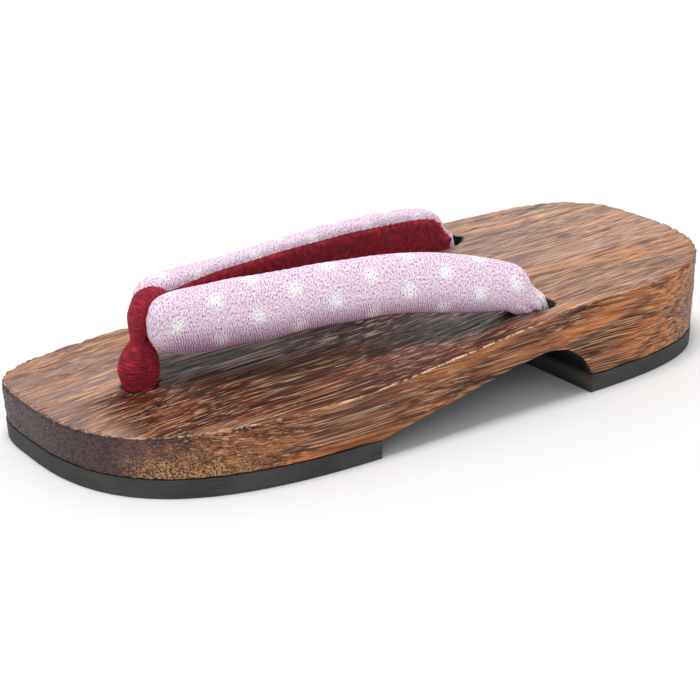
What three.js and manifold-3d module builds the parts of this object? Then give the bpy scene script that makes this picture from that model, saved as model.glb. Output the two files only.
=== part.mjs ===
// A left geta sandal: one block of scorched wood, arched between ball and heel,
// with a rubber pad under each bearing face, a padded strap that forks from a
// toe loop, and a velvet lining on the foot side of each strap.
// Millimetres. The toe points to -Y, the heel to +Y, the outer side is +X.

import * as THREE from 'three';
import { mergeVertices } from 'three/addons/utils/BufferGeometryUtils.js';
import Module from 'manifold-3d';

const wasm = await Module();
wasm.setup();

// Wooden body
const LENGTH = 240;
const WIDTH = 93;
const TOE_HEIGHT = 18.3;
const HEEL_HEIGHT = 33.6;
const TOE_TIP_INWARD = 12.4;
const HEEL_TIP_INWARD = 4.8;
const WALL_DRAFT = 0.9;

// Rubber pads and the arch between them
const PAD_THICKNESS = 6;
const FRONT_PAD_LENGTH = 84.3;
const HEEL_PAD_LENGTH = 70.7;
const ARCH_TOP = 18.6;
const ARCH_RADIUS = 21;

// Holes in the wood
const TOE_HOLE_BORE = 10.6;
const TOE_HOLE_FROM_TOE = 31.5;
const TOE_HOLE_INWARD = 3.8;
const KNOT_POCKET_BORE = 15;
const KNOT_POCKET_DEPTH = 4.2;
const SIDE_HOLE_BORE = 9;
const SIDE_HOLE_LEAN = 7;
const OUTER_HOLE_FROM_HEEL = 86;
const OUTER_HOLE_OUTWARD = 35;
const INNER_HOLE_FROM_HEEL = 72.5;
const INNER_HOLE_INWARD = 28.5;

// Padded strap
const STRAP_HEIGHT = 20;
const STRAP_THICKNESS = 10.5;
const STRAP_RISE = 20.8;
const STRAP_LEAN = 14;
const STRAP_SPREAD = 3.8;
const OUTER_NOSE_FORWARD = -1.0;
const INNER_NOSE_FORWARD = -1.4;
const OUTER_BOW = 3;
const INNER_BOW = -1;
const OUTER_SAG = 0;
const INNER_SAG = 3.3;
const OUTER_LIFT = 0;
const INNER_LIFT = 3.4;
const TAIL_WIDTH = 6.4;
const KNOT_WIDTH = 11;
const KNOT_HEIGHT = 7;
const FOLD_REACH = 2.5;
const FOLD_DEPTH = 7.4;
const FOLD_HEIGHT = 14.5;
const LINING_FROM_FOLD = 12;
const LINING_FROM_HOLE = 2.6;

// Toe loop
const LOOP_RISE = 27.4;
const LOOP_DEPTH = 11;
const LOOP_WIDTH = 9.5;
const LOOP_THICKNESS = 8.2;
const LOOP_TAIL_WIDTH = 9.2;
const LOOP_KNOT_WIDTH = 12;
const LOOP_KNOT_HEIGHT = 6.8;

// Clearance between pieces that curve round each other
const GAP = 0.3;

// How far a cutting shape reaches past what it cuts
const PAST = 6;

// Fineness of the faceted solids
const EDGE_STEPS = 12;
const PROFILE_STEPS = 36;
const ARCH_STEPS = 14;
const STRAP_RINGS = 22;
const TAIL_RINGS = 3;
const LOOP_RINGS = 14;
const LOOP_SIDES = 12;
const HALF_SIDES = 10;
const ROUND_SIDES = 20;

const TOE_Y = -LENGTH / 2;
const HEEL_Y = LENGTH / 2;
const FRONT_PAD_END = TOE_Y + FRONT_PAD_LENGTH;
const HEEL_PAD_END = HEEL_Y - HEEL_PAD_LENGTH;
const POST = new THREE.Vector2(-TOE_HOLE_INWARD, TOE_Y + TOE_HOLE_FROM_TOE);

// Plan outline of each side. Half widths are shares of WIDTH, places are shares
// of LENGTH from the toe, and the pulls say how square the two ends are.
const SIDES = [
  { sign: 1, ball: 0.5, ballAt: 0.346, waist: 0.495, heel: 0.5, toePull: 0.7, heelPull: 0.76 },
  { sign: -1, ball: 0.495, ballAt: 0.167, waist: 0.481, heel: 0.5, toePull: 0.97, heelPull: 0.84 },
];
const WAIST_AT = 0.524;
const HEEL_AT = 0.6975;
const SIDE_EASE = 0.45;

// Footbed height along the sandal, as a share of the rise from toe to heel.
const FOOTBED = [
  { at: 0, rise: 0 },
  { at: 0.167, rise: 0.203 },
  { at: 0.333, rise: 0.31 },
  { at: 0.5, rise: 0.556 },
  { at: 0.667, rise: 0.845 },
  { at: 0.833, rise: 0.91 },
  { at: 1, rise: 1 },
];

// Strap sections from the fold at the toe loop to the side hole: rise of the
// centre over the footbed, height, thickness and lean as shares of the named
// sizes, and how far the section has closed to a round tail.
const STRAP = [
  { at: 0, rise: 0.9, high: 0.3, thick: 0.3, lean: 0, tail: 0 },
  { at: 0.012, rise: 0.9, high: 0.6, thick: 0.62, lean: 0.1, tail: 0 },
  { at: 0.04, rise: 0.91, high: 0.85, thick: 0.88, lean: 0.4, tail: 0 },
  { at: 0.09, rise: 0.91, high: 0.97, thick: 1, lean: 0.75, tail: 0 },
  { at: 0.253, rise: 0.96, high: 1, thick: 1, lean: 1, tail: 0 },
  { at: 0.425, rise: 1, high: 0.97, thick: 1, lean: 1, tail: 0 },
  { at: 0.598, rise: 0.93, high: 0.94, thick: 1, lean: 1, tail: 0 },
  { at: 0.751, rise: 0.723, high: 0.926, thick: 1, lean: 1, tail: 0 },
  { at: 0.905, rise: 0.415, high: 0.791, thick: 0.94, lean: 0.8, tail: 0 },
  { at: 0.949, rise: 0.182, high: 0.581, thick: 0.84, lean: 0.5, tail: 0.2 },
  { at: 1, rise: 0, high: 0.352, thick: 0.62, lean: 0, tail: 1 },
];

// Toe loop, front strand from the hole to the top and rear strand back down:
// height over the footbed, way back from the hole, width and thickness.
const LOOP_FRONT = [
  { up: -0.04, back: -0.13, wide: 0.86, thick: 0.84 },
  { up: 0.09, back: -0.17, wide: 0.95, thick: 0.94 },
  { up: 0.21, back: -0.19, wide: 1, thick: 1 },
  { up: 0.35, back: -0.14, wide: 0.88, thick: 0.8 },
  { up: 0.48, back: -0.02, wide: 0.66, thick: 0.44 },
  { up: 0.62, back: 0, wide: 0.78, thick: 0.46 },
  { up: 0.78, back: 0.02, wide: 0.88, thick: 0.48 },
  { up: 0.94, back: 0.18, wide: 0.86, thick: 0.48 },
  { up: 1, back: 0.5, wide: 0.8, thick: 0.45 },
  { up: 0.985, back: 0.66, wide: 0.76, thick: 0.45 },
];
const LOOP_REAR = [
  { up: 1, back: 0.5, wide: 0.79, thick: 0.44 },
  { up: 0.95, back: 0.82, wide: 0.72, thick: 0.45 },
  { up: 0.8, back: 0.98, wide: 0.6, thick: 0.45 },
  { up: 0.62, back: 0.93, wide: 0.58, thick: 0.44 },
  { up: 0.54, back: 0.58, wide: 0.6, thick: 0.42 },
  { up: 0.465, back: 0.2, wide: 0.64, thick: 0.42 },
  { up: 0.345, back: 0.2, wide: 0.82, thick: 0.76 },
  { up: 0.21, back: 0.22, wide: 0.94, thick: 0.92 },
  { up: 0.09, back: 0.18, wide: 0.9, thick: 0.88 },
  { up: -0.04, back: 0.12, wide: 0.84, thick: 0.82 },
];

// Smooth value of one column of a table at a place between its rows
function readTable(rows, column, at) {
  const last = rows.length - 1;
  const slope = (i) => {
    const a = rows[Math.max(i - 1, 0)];
    const b = rows[Math.min(i + 1, last)];
    return (b[column] - a[column]) / (b.at - a.at);
  };
  let i = 0;
  while (i < last - 1 && at > rows[i + 1].at) i += 1;
  const span = rows[i + 1].at - rows[i].at;
  const t = THREE.MathUtils.clamp((at - rows[i].at) / span, 0, 1);
  const [t2, t3] = [t * t, t * t * t];
  return (2 * t3 - 3 * t2 + 1) * rows[i][column]
    + (t3 - 2 * t2 + t) * span * slope(i)
    + (3 * t2 - 2 * t3) * rows[i + 1][column]
    + (t3 - t2) * span * slope(i + 1);
}

function footbed(y) {
  const rise = readTable(FOOTBED, 'rise', (y - TOE_Y) / LENGTH);
  return TOE_HEIGHT + rise * (HEEL_HEIGHT - TOE_HEIGHT);
}

// Boolean solid from a three.js geometry, turned inside out if it was mirrored
function solid(geometry, mirrored = false) {
  let bare = geometry.index ? geometry.toNonIndexed() : geometry.clone();
  bare.deleteAttribute('normal');
  bare.deleteAttribute('uv');
  bare = mergeVertices(bare, 1e-4);
  const corners = new Uint32Array(bare.index.array);
  if (mirrored) corners.reverse();
  return new wasm.Manifold(new wasm.Mesh({
    numProp: 3,
    vertProperties: new Float32Array(bare.attributes.position.array),
    triVerts: corners,
  }));
}

function piece(name, body, material) {
  const { vertProperties, triVerts } = body.getMesh();
  const geometry = new THREE.BufferGeometry();
  geometry.setAttribute('position', new THREE.BufferAttribute(new Float32Array(vertProperties), 3));
  geometry.setIndex(new THREE.BufferAttribute(new Uint32Array(triVerts), 1));
  geometry.computeVertexNormals();
  const mesh = new THREE.Mesh(geometry, material);
  mesh.name = name;
  return mesh;
}

// Moves every vertex of a geometry to the point that a function gives
function reshape(geometry, place) {
  const position = geometry.attributes.position;
  const point = new THREE.Vector3();
  for (let i = 0; i < position.count; i += 1) {
    point.fromBufferAttribute(position, i);
    const moved = place(point);
    position.setXYZ(i, moved.x, moved.y, moved.z);
  }
  return geometry;
}

function box(low, high) {
  const size = new THREE.Vector3().subVectors(high, low);
  const centre = new THREE.Vector3().addVectors(low, high).multiplyScalar(0.5);
  return solid(new THREE.BoxGeometry(size.x, size.y, size.z).translate(centre.x, centre.y, centre.z));
}

// Cylinder between two points, lengthened past both by the same reach
function bore(from, to, width, reach) {
  const axis = new THREE.Vector3().subVectors(to, from);
  const geometry = new THREE.CylinderGeometry(
    width / 2, width / 2, axis.length() + 2 * reach, ROUND_SIDES,
  );
  const turn = new THREE.Quaternion().setFromUnitVectors(
    new THREE.Vector3(0, 1, 0), axis.clone().normalize(),
  );
  const middle = new THREE.Vector3().addVectors(from, to).multiplyScalar(0.5);
  return solid(geometry.applyQuaternion(turn).translate(middle.x, middle.y, middle.z));
}

// Plan outline, from the toe tip round the outer side to the heel and back
function sideOutline(side) {
  const toeX = -TOE_TIP_INWARD;
  const heelX = -HEEL_TIP_INWARD;
  const [ball, waist, heel] = [side.ball, side.waist, side.heel].map((s) => s * WIDTH * side.sign);
  const ballY = TOE_Y + side.ballAt * LENGTH;
  const waistY = TOE_Y + WAIST_AT * LENGTH;
  const heelY = TOE_Y + HEEL_AT * LENGTH;
  const easeFront = (waistY - ballY) * SIDE_EASE;
  const easeBack = (heelY - waistY) * SIDE_EASE;
  const { toePull, heelPull } = side;
  const path = new THREE.Path();
  path.moveTo(toeX, TOE_Y);
  path.bezierCurveTo(
    toeX + (ball - toeX) * toePull, TOE_Y, ball, ballY + (TOE_Y - ballY) * toePull, ball, ballY,
  );
  path.bezierCurveTo(ball, ballY + easeFront, waist, waistY - easeFront, waist, waistY);
  path.bezierCurveTo(waist, waistY + easeBack, heel, heelY - easeBack, heel, heelY);
  path.bezierCurveTo(
    heel, heelY + (HEEL_Y - heelY) * heelPull, heelX + (heel - heelX) * heelPull, HEEL_Y, heelX, HEEL_Y,
  );
  return path.getPoints(EDGE_STEPS);
}

// Upright block with the plan outline, its walls drawn in a little downwards
function planBlock(low, high) {
  const [outer, inner] = SIDES.map(sideOutline);
  const shape = new THREE.Shape([...outer, ...inner.reverse().slice(1, -1)]);
  const block = new THREE.ExtrudeGeometry(shape, { depth: high - low, bevelEnabled: false });
  return solid(reshape(block, ({ x, y, z }) => {
    const height = low + z;
    const inset = WALL_DRAFT * (1 - height / footbed(y));
    return { x: x * (1 - 2 * inset / WIDTH), y: y * (1 - 2 * inset / LENGTH), z: height };
  }));
}

// The vault under the arch: a straight rise from the front pad that runs into
// an arc, which comes down to the front edge of the heel pad.
const vault = (() => {
  const centreZ = ARCH_TOP - ARCH_RADIUS;
  const centreY = HEEL_PAD_END - Math.sqrt(ARCH_RADIUS ** 2 - (PAD_THICKNESS - centreZ) ** 2);
  const runY = centreY - FRONT_PAD_END;
  const runZ = centreZ - PAD_THICKNESS;
  const slope = Math.atan2(runZ, runY) + Math.asin(ARCH_RADIUS / Math.hypot(runY, runZ));
  const endAngle = Math.atan2(PAD_THICKNESS - centreZ, HEEL_PAD_END - centreY);
  return { centreY, centreZ, startAngle: Math.PI / 2 + slope, endAngle };
})();

// Side view of the wood, extruded across the sandal
function profileBlock() {
  const shape = new THREE.Shape();
  const beyond = LENGTH / 2 + PAST;
  shape.moveTo(-beyond, PAD_THICKNESS);
  shape.lineTo(FRONT_PAD_END, PAD_THICKNESS);
  for (let i = 0; i <= ARCH_STEPS; i += 1) {
    const angle = THREE.MathUtils.lerp(vault.startAngle, vault.endAngle, i / ARCH_STEPS);
    const y = vault.centreY + ARCH_RADIUS * Math.cos(angle);
    const z = vault.centreZ + ARCH_RADIUS * Math.sin(angle);
    shape.lineTo(y, i === ARCH_STEPS ? PAD_THICKNESS : z);
  }
  shape.lineTo(beyond, PAD_THICKNESS);
  shape.lineTo(beyond, footbed(HEEL_Y));
  for (let i = PROFILE_STEPS; i >= 0; i -= 1) {
    const y = TOE_Y + LENGTH * i / PROFILE_STEPS;
    shape.lineTo(y, footbed(y));
  }
  shape.lineTo(-beyond, footbed(TOE_Y));
  const across = new THREE.ExtrudeGeometry(shape, { depth: 2 * WIDTH, bevelEnabled: false });
  return solid(reshape(across, ({ x, y, z }) => ({ x: z - WIDTH, y: x, z: y })));
}

// The two side holes lean towards the middle and come out at the arch's top
const ANCHORS = [
  {
    sign: 1, outward: OUTER_HOLE_OUTWARD, fromHeel: OUTER_HOLE_FROM_HEEL,
    forward: OUTER_NOSE_FORWARD, bow: OUTER_BOW, sag: OUTER_SAG, lift: OUTER_LIFT,
  },
  {
    sign: -1, outward: INNER_HOLE_INWARD, fromHeel: INNER_HOLE_FROM_HEEL,
    forward: INNER_NOSE_FORWARD, bow: INNER_BOW, sag: INNER_SAG, lift: INNER_LIFT,
  },
].map(({ sign, outward, fromHeel, ...shape }) => {
  const y = HEEL_Y - fromHeel;
  const mouth = new THREE.Vector3(sign * outward, y, footbed(y));
  const exit = new THREE.Vector3(sign * (outward - SIDE_HOLE_LEAN), vault.centreY, ARCH_TOP);
  return { sign, mouth, exit, ...shape };
});

function holes(clearance) {
  const postTop = new THREE.Vector3(POST.x, POST.y, footbed(POST.y));
  const postFoot = new THREE.Vector3(POST.x, POST.y, PAD_THICKNESS);
  const pocketRoof = new THREE.Vector3(POST.x, POST.y, PAD_THICKNESS + KNOT_POCKET_DEPTH);
  const pocketFloor = new THREE.Vector3(POST.x, POST.y, -PAST);
  const cuts = ANCHORS.map(({ mouth, exit }) => bore(mouth, exit, SIDE_HOLE_BORE - 2 * clearance, PAST));
  cuts.push(bore(postTop, postFoot, TOE_HOLE_BORE - 2 * clearance, PAST));
  cuts.push(bore(pocketRoof, pocketFloor, KNOT_POCKET_BORE, 0));
  return cuts.reduce((all, cut) => all.add(cut));
}

const woodBlank = planBlock(0, HEEL_HEIGHT + PAST).intersect(profileBlock());
const woodBody = woodBlank.subtract(holes(0));

// What a soft piece may not enter: the wood with a small gap over its footbed
const woodKeepOut = woodBlank.translate([0, 0, GAP]).subtract(holes(GAP));

function rubberPad(fromY, toY) {
  const low = new THREE.Vector3(-WIDTH, fromY, -PAST);
  const high = new THREE.Vector3(WIDTH, toY, PAD_THICKNESS + PAST);
  const slab = box(low, high);
  return planBlock(0, PAD_THICKNESS).intersect(slab).subtract(holes(0));
}

// Rounded section outline with unit half sizes, slightly fuller than an ellipse
const FULLNESS = 2.35;

function roundPoint(angle) {
  const [c, s] = [Math.cos(angle), Math.sin(angle)];
  const swell = (v) => Math.sign(v) * Math.abs(v) ** (2 / FULLNESS);
  return new THREE.Vector2(swell(c), swell(s));
}

// Where the two seams that part the padded strap into cover and lining lie
// round its section: the upper one on the foot side, the lower one underneath
const UPPER_SEAM = THREE.MathUtils.degToRad(130);
const LOWER_SEAM = THREE.MathUtils.degToRad(-84);
const SEAM_SHARES = [1 / 6, 1 / 3, 1 / 2, 2 / 3, 5 / 6];
const seamTop = roundPoint(UPPER_SEAM);
const seamFoot = roundPoint(LOWER_SEAM);

// Half section: side 1 is the cover, side -1 the lining
function halfSection(side) {
  const [from, to] = side > 0 ? [LOWER_SEAM, UPPER_SEAM] : [LOWER_SEAM + 2 * Math.PI, UPPER_SEAM];
  const points = [];
  for (let i = 0; i <= HALF_SIDES; i += 1) {
    points.push(roundPoint(THREE.MathUtils.lerp(from, to, i / HALF_SIDES)));
  }
  SEAM_SHARES.forEach((share) => points.push(seamTop.clone().lerp(seamFoot, share)));
  return new THREE.Shape(points);
}

// Where a point lies between the upper and the lower seam, or null off that line
function seamShare(u, v) {
  const share = (seamTop.y - v) / (seamTop.y - seamFoot.y);
  const across = THREE.MathUtils.lerp(seamTop.x, seamFoot.x, share);
  return Math.abs(across - u) < 1e-5 ? share : null;
}

function roundSection(sides) {
  const points = [];
  for (let i = 0; i < sides; i += 1) points.push(roundPoint(2 * Math.PI * i / sides));
  return new THREE.Shape(points);
}

// Closed tube: a unit section extruded in steps, each step placed by its ring
function tube(section, rings, place, mirrored = false) {
  const steps = rings.length - 1;
  const geometry = new THREE.ExtrudeGeometry(section, { depth: 1, steps, bevelEnabled: false });
  reshape(geometry, ({ x, y, z }) => place(x, y, rings[Math.round(z * steps)]));
  return solid(geometry, mirrored);
}

// Share of a strap's length over which its lift at the toe loop dies away
const LIFT_REACH = 0.7;

// Centre line, axes and half sizes of a strap's rings. The lining shares the
// cover's rings, but starts behind the fold and stops short of the hole.
function strapRings(anchor, isLining) {
  const { sign, mouth, exit, forward, bow, sag, lift } = anchor;
  const start = new THREE.Vector2(POST.x + sign * STRAP_SPREAD, POST.y - forward);
  const chord = new THREE.Vector2(mouth.x, mouth.y).sub(start);
  const outward = new THREE.Vector2(chord.y, -chord.x).normalize().multiplyScalar(sign);
  const lean = THREE.MathUtils.degToRad(STRAP_LEAN);
  const first = isLining ? LINING_FROM_FOLD / chord.length() : 0;
  const last = isLining ? 1 - LINING_FROM_HOLE / chord.length() : 1;
  const shares = [first];
  for (let i = 1; i < STRAP_RINGS; i += 1) {
    const share = 0.5 - 0.5 * Math.cos(Math.PI * i / STRAP_RINGS);
    if (share > first + 0.01 && share < last - 0.01) shares.push(share);
  }
  shares.push(last);
  const rings = shares.map((at) => {
    const read = (column) => readTable(STRAP, column, at);
    const belly = 4 * at * (1 - at);
    const lifted = lift * (1 + Math.cos(Math.PI * Math.min(at / LIFT_REACH, 1))) / 2;
    const plan = start.clone().addScaledVector(chord, at).addScaledVector(outward, bow * belly);
    const height = footbed(plan.y) + read('rise') * STRAP_RISE - sag * belly + lifted;
    return {
      centre: new THREE.Vector3(plan.x, plan.y, height),
      high: read('high') * STRAP_HEIGHT / 2,
      thick: read('thick') * STRAP_THICKNESS / 2,
      lean: read('lean') * lean,
      tail: THREE.MathUtils.clamp(read('tail'), 0, 1),
    };
  });
  if (!isLining) {
    const knot = exit.clone().setZ(ARCH_TOP - GAP - KNOT_HEIGHT / 2);
    for (let i = 1; i <= TAIL_RINGS; i += 1) {
      rings.push({
        centre: i < TAIL_RINGS ? mouth.clone().lerp(exit, i / (TAIL_RINGS - 1)) : knot,
        high: TAIL_WIDTH / 2,
        thick: TAIL_WIDTH / 2,
        lean: 0,
        tail: 1,
      });
    }
  }
  rings.forEach((ring, i) => {
    const before = rings[Math.max(i - 1, 0)].centre;
    const after = rings[Math.min(i + 1, rings.length - 1)].centre;
    const along = new THREE.Vector3().subVectors(after, before).normalize();
    const out = new THREE.Vector3(outward.x, outward.y, 0);
    out.addScaledVector(along, -out.dot(along)).normalize();
    const up = new THREE.Vector3().crossVectors(out, along).multiplyScalar(sign);
    ring.out = out.clone().multiplyScalar(Math.cos(ring.lean)).addScaledVector(up, Math.sin(ring.lean));
    ring.up = up.multiplyScalar(Math.cos(ring.lean)).addScaledVector(out, -Math.sin(ring.lean));
  });
  return rings;
}

// The outer strap's axes are a mirror image of the inner strap's
function strapHalf(anchor, side, grow) {
  const rings = strapRings(anchor, side < 0);
  const section = halfSection(side);
  return tube(section, rings, (u, v, ring) => {
    const share = seamShare(u, v);
    const point = new THREE.Vector2(u, v);
    let split = 0;
    if (share !== null) {
      const closed = roundPoint(THREE.MathUtils.lerp(UPPER_SEAM, LOWER_SEAM + 2 * Math.PI, share));
      point.lerp(closed, ring.tail);
      split = side * (GAP / 2 - grow) * (1 - ring.tail);
    }
    return ring.centre.clone()
      .addScaledVector(ring.out, point.x * (ring.thick + grow) + split)
      .addScaledVector(ring.up, point.y * (ring.high + grow));
  }, anchor.sign > 0);
}

function strapKnot({ exit }) {
  const knot = new THREE.SphereGeometry(KNOT_WIDTH / 2, ROUND_SIDES, ROUND_SIDES / 2);
  knot.scale(1, 1, KNOT_HEIGHT / KNOT_WIDTH);
  return solid(knot.translate(exit.x, exit.y, ARCH_TOP - GAP - KNOT_HEIGHT / 2));
}

// Middle of the fold that the loop goes round, as shares of the loop's sizes
const FOLD_BACK = 0.5;
const FOLD_UP = 0.73;

// Toe loop strand in the plane through the toe hole
function loopStrand(rows, grow) {
  const base = footbed(POST.y);
  const points = rows.map(({ up, back }) => new THREE.Vector3(
    POST.x, POST.y + back * LOOP_DEPTH, base + up * LOOP_RISE,
  ));
  const line = new THREE.CatmullRomCurve3(points, false, 'centripetal');
  const rings = [];
  for (let i = 0; i <= LOOP_RINGS; i += 1) {
    const t = i / LOOP_RINGS;
    const row = t * (rows.length - 1);
    const below = rows[Math.floor(row)];
    const above = rows[Math.ceil(row)];
    const along = line.getTangent(t);
    rings.push({
      centre: line.getPoint(t),
      wide: THREE.MathUtils.lerp(below.wide, above.wide, row % 1) * LOOP_WIDTH / 2 + grow,
      thick: THREE.MathUtils.lerp(below.thick, above.thick, row % 1) * LOOP_THICKNESS / 2 + grow,
      deep: new THREE.Vector3().crossVectors(along, new THREE.Vector3(1, 0, 0)),
    });
  }
  return tube(roundSection(LOOP_SIDES), rings, (u, v, ring) => ring.centre.clone()
    .add(new THREE.Vector3(u * ring.wide, 0, 0))
    .addScaledVector(ring.deep, v * ring.thick));
}

// Tail of the loop in its hole, with the knot in the pocket under it
function loopTail() {
  const top = footbed(POST.y) - GAP;
  const knotTop = PAD_THICKNESS + KNOT_POCKET_DEPTH - GAP;
  const knotFoot = knotTop - LOOP_KNOT_HEIGHT;
  const profile = [
    [0, knotFoot],
    [0.35 * LOOP_KNOT_WIDTH, knotFoot],
    [0.5 * LOOP_KNOT_WIDTH, knotFoot + 0.4 * LOOP_KNOT_HEIGHT],
    [0.45 * LOOP_KNOT_WIDTH, knotFoot + 0.85 * LOOP_KNOT_HEIGHT],
    [LOOP_TAIL_WIDTH / 2, knotTop],
    [LOOP_TAIL_WIDTH / 2, top],
    [0, top],
  ].map(([x, y]) => new THREE.Vector2(x, y));
  const tail = new THREE.LatheGeometry(profile, ROUND_SIDES);
  return solid(tail.rotateX(Math.PI / 2).translate(POST.x, POST.y, 0));
}

const loopBody = (grow) => loopStrand(LOOP_FRONT, grow).add(loopStrand(LOOP_REAR, grow));
const toeLoop = loopBody(0).add(loopTail()).subtract(woodKeepOut);

// The fold that the toe loop holds, between the rounded ends of the two straps
function strapFold() {
  const fold = new THREE.SphereGeometry(1, ROUND_SIDES, ROUND_SIDES / 2);
  fold.scale(STRAP_SPREAD + FOLD_REACH, FOLD_DEPTH / 2, FOLD_HEIGHT / 2);
  const y = POST.y + FOLD_BACK * LOOP_DEPTH;
  return solid(fold.translate(POST.x, y, footbed(POST.y) + FOLD_UP * LOOP_RISE));
}

const loopKeepOut = loopBody(GAP);
const coverKeepOut = strapHalf(ANCHORS[0], 1, GAP).add(strapHalf(ANCHORS[1], 1, GAP));

const strapLining = (anchor) => strapHalf(anchor, -1, 0)
  .subtract(coverKeepOut)
  .subtract(loopKeepOut)
  .subtract(woodKeepOut);

const strapUpper = ANCHORS
  .map((anchor) => strapHalf(anchor, 1, 0).add(strapKnot(anchor)))
  .reduce((all, strap) => all.add(strap), strapFold())
  .subtract(loopKeepOut)
  .subtract(woodKeepOut);

const finish = (color, roughness) => new THREE.MeshStandardMaterial({ color, roughness, metalness: 0 });
const scorchedWood = finish(0x6f4526, 0.72);
const blackRubber = finish(0x35352f, 0.85);
const lilacCrepe = finish(0xcfaacb, 0.9);
const redVelvet = finish(0x8a1029, 0.95);

const geta = new THREE.Group();
geta.add(
  piece('wood_body', woodBody, scorchedWood),
  piece('front_rubber_pad', rubberPad(-LENGTH, FRONT_PAD_END), blackRubber),
  piece('heel_rubber_pad', rubberPad(HEEL_PAD_END, LENGTH), blackRubber),
  piece('strap_upper', strapUpper, lilacCrepe),
  piece('strap_lining_outer', strapLining(ANCHORS[0]), redVelvet),
  piece('strap_lining_inner', strapLining(ANCHORS[1]), redVelvet),
  piece('toe_loop', toeLoop, redVelvet),
);

export default geta;
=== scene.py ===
# A left geta sandal: scorched and brushed wood on rubber pads, with a padded forked strap.
# Lengths are in millimetres and are turned into metres where a mesh is made.
import math

import bmesh
import bpy
import numpy as np
from mathutils import Matrix, Vector


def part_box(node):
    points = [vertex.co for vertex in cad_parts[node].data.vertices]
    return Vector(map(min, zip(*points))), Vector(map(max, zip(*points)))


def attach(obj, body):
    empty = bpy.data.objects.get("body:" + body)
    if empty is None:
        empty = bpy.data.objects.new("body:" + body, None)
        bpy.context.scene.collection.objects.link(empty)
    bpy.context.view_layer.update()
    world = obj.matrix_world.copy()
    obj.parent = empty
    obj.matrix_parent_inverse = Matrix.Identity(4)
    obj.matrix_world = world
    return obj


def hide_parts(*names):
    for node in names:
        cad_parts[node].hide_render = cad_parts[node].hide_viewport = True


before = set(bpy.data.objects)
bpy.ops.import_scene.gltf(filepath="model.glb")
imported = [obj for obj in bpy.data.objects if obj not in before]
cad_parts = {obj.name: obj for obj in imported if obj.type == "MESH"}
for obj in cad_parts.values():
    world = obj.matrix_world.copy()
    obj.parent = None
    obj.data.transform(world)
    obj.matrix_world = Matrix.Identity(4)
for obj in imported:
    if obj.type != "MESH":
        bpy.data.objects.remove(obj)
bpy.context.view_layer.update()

MM = 0.001


def box_mm(node):
    """Lowest and highest corner of a CAD node, in millimetres."""
    return tuple(np.array(corner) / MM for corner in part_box(node))


# Wooden body, from the frame
wood_low, wood_high = box_mm("wood_body")
LENGTH = wood_high[1] - wood_low[1]
WIDTH = wood_high[0] - wood_low[0]
HEEL_HEIGHT = wood_high[2]
PAD_THICKNESS = wood_low[2]
TOE_Y = wood_low[1]
HEEL_Y = wood_high[1]
FRONT_PAD_END = box_mm("front_rubber_pad")[1][1]
HEEL_PAD_END = box_mm("heel_rubber_pad")[0][1]
TOE_HEIGHT = 18.3
TOE_TIP_INWARD = 12.4
HEEL_TIP_INWARD = 4.8
WALL_DRAFT = 0.9
ARCH_TOP = 18.6
ARCH_RADIUS = 21

# Holes in the wood
TOE_HOLE_BORE = 10.6
TOE_HOLE_FROM_TOE = 31.5
TOE_HOLE_INWARD = 3.8
KNOT_POCKET_BORE = 15
KNOT_POCKET_DEPTH = 4.2
SIDE_HOLE_BORE = 9
SIDE_HOLE_LEAN = 7
POST = np.array([-TOE_HOLE_INWARD, TOE_Y + TOE_HOLE_FROM_TOE])

# Padded strap
STRAP_HEIGHT = 20
STRAP_THICKNESS = 10.5
STRAP_RISE = 20.8
STRAP_LEAN = math.radians(14)
STRAP_SPREAD = 3.8
TAIL_WIDTH = 6.4
KNOT_WIDTH = 11
KNOT_HEIGHT = 7
KNOT_CORD = 4.2
FOLD_REACH = 2.5
FOLD_DEPTH = 7.4
FOLD_HEIGHT = 14.5
FULLNESS = 2.35
LINING_FROM_FOLD = 9
LINING_FROM_HOLE = 1.5

# Place of the fold's middle, as shares of the loop's depth and rise
FOLD_BACK = 0.5
FOLD_UP = 0.73

# Toe loop
LOOP_RISE = 27.4
LOOP_DEPTH = 11
LOOP_WIDTH = 9.5
LOOP_THICKNESS = 8.2
LOOP_TAIL_WIDTH = 9.2
LOOP_TAIL_END = 2.8
LOOP_KNOT_WIDTH = 12
LOOP_KNOT_HEIGHT = 7.4
LOOP_CORD = 4.4

GAP = 0.3


def table(columns, rows):
    """Columns of a table by name."""
    values = np.array(rows, float)
    return {name: values[:, i] for i, name in enumerate(columns.split())}


# Plan outline of each side: half widths are shares of WIDTH, places are shares
# of LENGTH from the toe, and the pulls say how square the two ends are.
OUTER_SIDE = {"sign": 1, "ball": 0.5, "ball_at": 0.346, "waist": 0.495, "heel": 0.5,
              "toe_pull": 0.7, "heel_pull": 0.76}
INNER_SIDE = {"sign": -1, "ball": 0.495, "ball_at": 0.167, "waist": 0.481, "heel": 0.5,
              "toe_pull": 0.97, "heel_pull": 0.84}
WAIST_AT = 0.524
HEEL_AT = 0.6975
SIDE_EASE = 0.45

# Footbed height along the sandal, as a share of the rise from toe to heel
FOOTBED = table("at rise", [
    (0, 0), (0.167, 0.203), (0.333, 0.31), (0.5, 0.556), (0.667, 0.845), (0.833, 0.91), (1, 1),
])

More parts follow.
